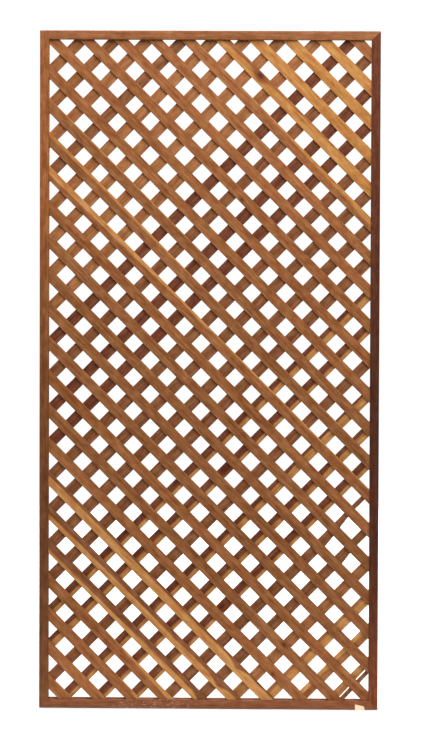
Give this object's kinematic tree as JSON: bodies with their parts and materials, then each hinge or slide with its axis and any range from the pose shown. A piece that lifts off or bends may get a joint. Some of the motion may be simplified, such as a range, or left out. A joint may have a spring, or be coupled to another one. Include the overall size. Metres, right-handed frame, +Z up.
{
  "type": "lattice panel",
  "caption": "Framed wood lattice panel: a mitred, grooved frame round two crossing layers of diagonal laths, for fences, screens and climbing plants.",
  "frame": {"origin": "middle of the bottom rail's underside, at the middle of the panel's depth", "axes": "+Z up along the stiles, +X to the right seen from the front, -Y out of the front, where the laths run down to the right"},
  "size_m": [1.2192, 0.0382, 2.4384],
  "materials": {
    "frame_wood": "planed, stained warm reddish brown, satin",
    "dark_frame_wood": "planed heartwood, dark reddish brown, satin",
    "brown_lath_wood": "sawn, warm medium brown, matte",
    "light_lath_wood": "sawn, light reddish brown, matte",
    "golden_lath_wood": "sawn sapwood, golden, matte",
    "dark_lath_wood": "sawn heartwood, dark reddish brown, matte",
    "zinc_steel": "zinc plated, dull"
  },
  "bodies": {
    "root": {"back_lath_01": "brown_lath_wood", "back_lath_02": "brown_lath_wood", "back_lath_03": "brown_lath_wood", "back_lath_04": "brown_lath_wood", "back_lath_05": "brown_lath_wood", "back_lath_06": "brown_lath_wood", "back_lath_07": "dark_lath_wood", "back_lath_08": "dark_lath_wood", "back_lath_10": "brown_lath_wood", "back_lath_11": "dark_lath_wood", "back_lath_12": "dark_lath_wood", "back_lath_13": "brown_lath_wood", "back_lath_14": "brown_lath_wood", "back_lath_15": "brown_lath_wood", "back_lath_16": "brown_lath_wood", "back_lath_17": "dark_lath_wood", "back_lath_18": "dark_lath_wood", "back_lath_20": "dark_lath_wood", "back_lath_21": "light_lath_wood", "back_lath_22": "light_lath_wood", "back_lath_23": "light_lath_wood", "back_lath_24": "light_lath_wood", "back_lath_25": "brown_lath_wood", "back_lath_26": "light_lath_wood", "back_lath_27": "brown_lath_wood", "bottom_rail": "frame_wood", "front_lath_03": "brown_lath_wood", "front_lath_04": "brown_lath_wood", "front_lath_05": "brown_lath_wood", "front_lath_06": "golden_lath_wood", "front_lath_07": "golden_lath_wood", "front_lath_08": "brown_lath_wood", "front_lath_09": "brown_lath_wood", "front_lath_10": "brown_lath_wood", "front_lath_11": "brown_lath_wood", "front_lath_12": "brown_lath_wood", "front_lath_13": "brown_lath_wood", "front_lath_14": "brown_lath_wood", "front_lath_15": "brown_lath_wood", "front_lath_16": "brown_lath_wood", "front_lath_17": "brown_lath_wood", "front_lath_18": "brown_lath_wood", "front_lath_19": "brown_lath_wood", "front_lath_21": "light_lath_wood", "front_lath_22": "light_lath_wood", "front_lath_23": "light_lath_wood", "front_lath_24": "light_lath_wood", "front_lath_25": "golden_lath_wood", "front_lath_26": "golden_lath_wood", "front_lath_27": "golden_lath_wood", "left_stile": "frame_wood", "lower_left_corner_laths": "brown_lath_wood", "mitre_fastener_lower_left": "zinc_steel", "mitre_fastener_lower_right": "zinc_steel", "mitre_fastener_upper_left": "zinc_steel", "mitre_fastener_upper_right": "zinc_steel", "right_stile": "dark_frame_wood", "top_rail": "frame_wood", "upper_left_corner_laths": "brown_lath_wood", "upper_right_corner_laths": "brown_lath_wood"}
  },
  "joints": []
}
